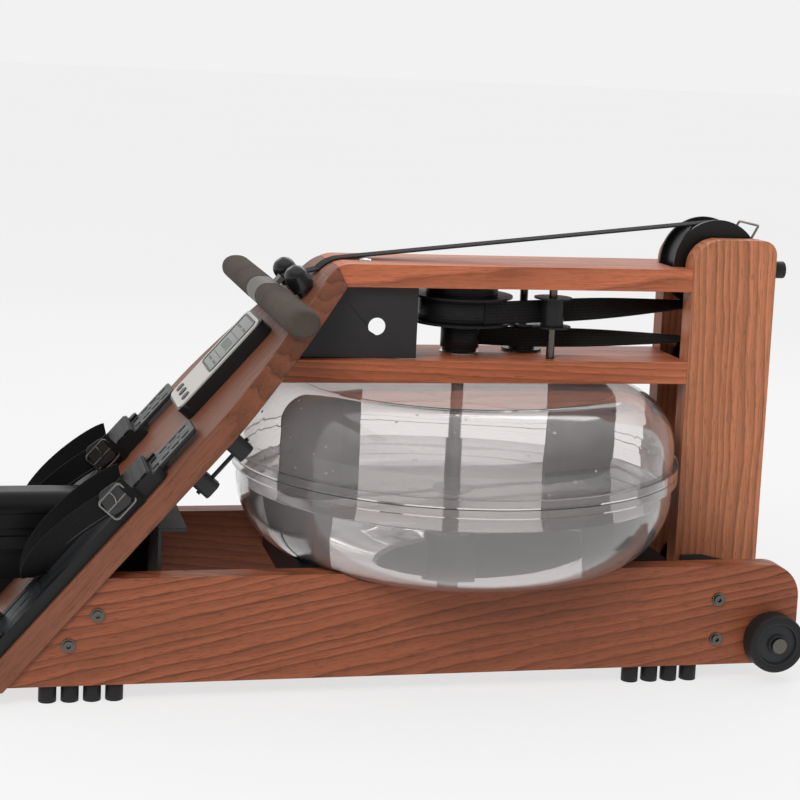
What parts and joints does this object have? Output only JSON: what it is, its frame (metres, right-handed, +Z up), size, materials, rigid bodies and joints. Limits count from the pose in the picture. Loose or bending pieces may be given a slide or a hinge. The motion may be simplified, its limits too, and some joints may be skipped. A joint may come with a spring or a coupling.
{
  "type": "rowing machine",
  "caption": "Water-resistance rower: walnut frame round a clear water tank with a paddle, strap handle, foot rests, and a seat rolling on a monorail.",
  "frame": {"origin": "on the floor under the middle of the bounding box", "axes": "+X from the seat to the tank, +Y to the rower's left, +Z up"},
  "size_m": [2.1, 0.546, 0.542],
  "materials": {
    "walnut": "oiled walnut, satin",
    "black_steel": "fine-texture black powder coat",
    "clear_tank": "clear polycarbonate, gloss",
    "water": "clear water",
    "paddle_grey": "grey moulded plastic, satin",
    "black_plastic": "black moulded nylon",
    "grey_plastic": "dark grey moulded plastic",
    "display": "pale grey display film",
    "bright_steel": "turned steel",
    "webbing": "woven polyester webbing",
    "black_rubber": "moulded rubber",
    "grip_foam": "closed-cell grip foam",
    "sleeve_grey": "satin grey plastic",
    "aluminium_tube": "drawn tube",
    "black_aluminium": "black anodised, satin",
    "seat_leather": "black upholstery leather, stitched",
    "roller_nylon": "off-white nylon"
  },
  "bodies": {
    "frame": {"base_board_right": "walnut", "base_board_left": "walnut", "footboard": "walnut", "top_deck": "walnut", "lower_deck": "walnut", "post_right": "walnut", "post_left": "walnut", "bracket_plates": "black_steel", "cross_members": "black_steel", "tank_cradles": "black_steel", "tank_upper_shell": "clear_tank", "tank_lower_shell": "clear_tank", "tank_seal": "black_rubber", "tank_plug": "black_rubber", "water": "water", "shaft_bearing": "bright_steel", "pulley_axles": "bright_steel", "drive_strap": "webbing", "recoil_belt": "webbing", "shock_cord": "webbing", "strap_bail": "black_steel", "post_bumpers": "black_rubber", "handle_knobs": "black_rubber", "monitor_housing": "black_plastic", "monitor_face": "display", "foot_base_right": "black_plastic", "foot_base_left": "black_plastic", "toe_strap_right": "webbing", "toe_strap_left": "webbing", "underside_catch": "grey_plastic", "frame_bolts": "black_steel", "rubber_feet": "black_rubber", "wheel_axles": "bright_steel", "monorail": "black_aluminium", "rail_stops": "black_plastic", "rear_leg": "walnut"},
    "paddle": {"paddle": "paddle_grey"},
    "clutch_pulley": {"clutch_pulley": "black_plastic"},
    "idler_near": {"idler_near": "black_plastic"},
    "idler_far": {"idler_far": "black_plastic"},
    "top_pulley": {"top_pulley": "black_plastic"},
    "recoil_spool": {"recoil_spool": "black_plastic"},
    "turn_roller": {"turn_roller": "black_plastic"},
    "handle": {"handle_bar": "aluminium_tube", "handle_grips": "grip_foam", "handle_sleeve": "sleeve_grey", "pull_strap": "webbing"},
    "seat": {"seat_pad": "seat_leather", "seat_carriage": "black_steel"},
    "seat_roller_front": {"seat_roller_front": "roller_nylon"},
    "seat_roller_rear": {"seat_roller_rear": "roller_nylon"},
    "guide_rollers_front": {"guide_rollers_front": "roller_nylon"},
    "guide_rollers_rear": {"guide_rollers_rear": "roller_nylon"},
    "heel_slide_right": {"heel_slide_right": "grey_plastic"},
    "heel_slide_left": {"heel_slide_left": "grey_plastic"},
    "button_left": {"button_left": "grey_plastic"},
    "button_middle": {"button_middle": "grey_plastic"},
    "button_right": {"button_right": "grey_plastic"},
    "wheel_right": {"wheel_right": "black_rubber"},
    "wheel_left": {"wheel_left": "black_rubber"}
  },
  "joints": [
    {"name": "handle_pull", "type": "slide", "parent": "frame", "child": "handle", "axis": [-0.9923, 0, 0.124], "range_m": [0, 1.2], "stiffness_N_per_m": 15, "springref_m": -0.8, "deforming": ["pull_strap"]},
    {"name": "clutch_spin", "type": "hinge", "parent": "frame", "child": "clutch_pulley", "pos_m": [0.653, 0, 0.42], "axis": [0, 0, 1], "continuous": true},
    {"name": "paddle_spin", "type": "hinge", "parent": "frame", "child": "paddle", "pos_m": [0.653, 0, 0.24], "axis": [0, 0, 1], "continuous": true},
    {"name": "top_pulley_spin", "type": "hinge", "parent": "frame", "child": "top_pulley", "pos_m": [0.971, 0, 0.486], "axis": [0, 1, 0], "continuous": true},
    {"name": "idler_near_spin", "type": "hinge", "parent": "frame", "child": "idler_near", "pos_m": [0.757, -0.038, 0.425], "axis": [0, 0, 1], "continuous": true},
    {"name": "idler_far_spin", "type": "hinge", "parent": "frame", "child": "idler_far", "pos_m": [0.739, 0.022, 0.389], "axis": [0, 0, 1], "continuous": true},
    {"name": "recoil_spool_spin", "type": "hinge", "parent": "frame", "child": "recoil_spool", "pos_m": [0.971, 0, 0.362], "axis": [0, 1, 0], "continuous": true},
    {"name": "turn_roller_spin", "type": "hinge", "parent": "frame", "child": "turn_roller", "pos_m": [0.971, 0, 0.098], "axis": [0, 1, 0], "continuous": true},
    {"name": "seat_slide", "type": "slide", "parent": "frame", "child": "seat", "axis": [1, 0, 0], "range_m": [-0.5, 0.33]},
    {"name": "roller_front_spin", "type": "hinge", "parent": "seat", "child": "seat_roller_front", "pos_m": [-0.345, 0, 0.22], "axis": [0, 1, 0], "continuous": true},
    {"name": "roller_rear_spin", "type": "hinge", "parent": "seat", "child": "seat_roller_rear", "pos_m": [-0.469, 0, 0.22], "axis": [0, 1, 0], "continuous": true},
    {"name": "guide_front_spin", "type": "hinge", "parent": "seat", "child": "guide_rollers_front", "pos_m": [-0.345, 0, 0.133], "axis": [0, 1, 0], "continuous": true},
    {"name": "guide_rear_spin", "type": "hinge", "parent": "seat", "child": "guide_rollers_rear", "pos_m": [-0.469, 0, 0.133], "axis": [0, 1, 0], "continuous": true},
    {"name": "heel_right_adjust", "type": "slide", "parent": "frame", "child": "heel_slide_right", "axis": [0.66, 0, 0.7513], "range_m": [-0.05, 0.04]},
    {"name": "heel_left_adjust", "type": "slide", "parent": "frame", "child": "heel_slide_left", "axis": [0.66, 0, 0.7513], "range_m": [-0.05, 0.04]},
    {"name": "button_left_press", "type": "slide", "parent": "frame", "child": "button_left", "axis": [0.7513, 0, -0.66], "range_m": [0, 0.0008], "stiffness_N_per_m": 400, "springref_m": -0.0002},
    {"name": "button_middle_press", "type": "slide", "parent": "frame", "child": "button_middle", "axis": [0.7513, 0, -0.66], "range_m": [0, 0.0008], "stiffness_N_per_m": 400, "springref_m": -0.0002},
    {"name": "button_right_press", "type": "slide", "parent": "frame", "child": "button_right", "axis": [0.7513, 0, -0.66], "range_m": [0, 0.0008], "stiffness_N_per_m": 400, "springref_m": -0.0002},
    {"name": "wheel_right_spin", "type": "hinge", "parent": "frame", "child": "wheel_right", "pos_m": [1.011, -0.1755, 0.052], "axis": [0, 1, 0], "continuous": true},
    {"name": "wheel_left_spin", "type": "hinge", "parent": "frame", "child": "wheel_left", "pos_m": [1.011, 0.1755, 0.052], "axis": [0, 1, 0], "continuous": true}
  ],
  "couplings": [
    {"joint": "clutch_spin", "follows": "handle_pull", "rad_per_m": 19.493},
    {"joint": "paddle_spin", "follows": "handle_pull", "rad_per_m": 19.493},
    {"joint": "top_pulley_spin", "follows": "handle_pull", "rad_per_m": -19.493},
    {"joint": "idler_near_spin", "follows": "handle_pull", "rad_per_m": -65.359},
    {"joint": "idler_far_spin", "follows": "handle_pull", "rad_per_m": -25.352},
    {"joint": "recoil_spool_spin", "follows": "handle_pull", "rad_per_m": -16.066},
    {"joint": "turn_roller_spin", "follows": "handle_pull", "rad_per_m": 14.475},
    {"joint": "roller_front_spin", "follows": "seat_slide", "rad_per_m": 66.667},
    {"joint": "roller_rear_spin", "follows": "seat_slide", "rad_per_m": 66.667},
    {"joint": "guide_front_spin", "follows": "seat_slide", "rad_per_m": -111.11},
    {"joint": "guide_rear_spin", "follows": "seat_slide", "rad_per_m": -111.11}
  ]
}
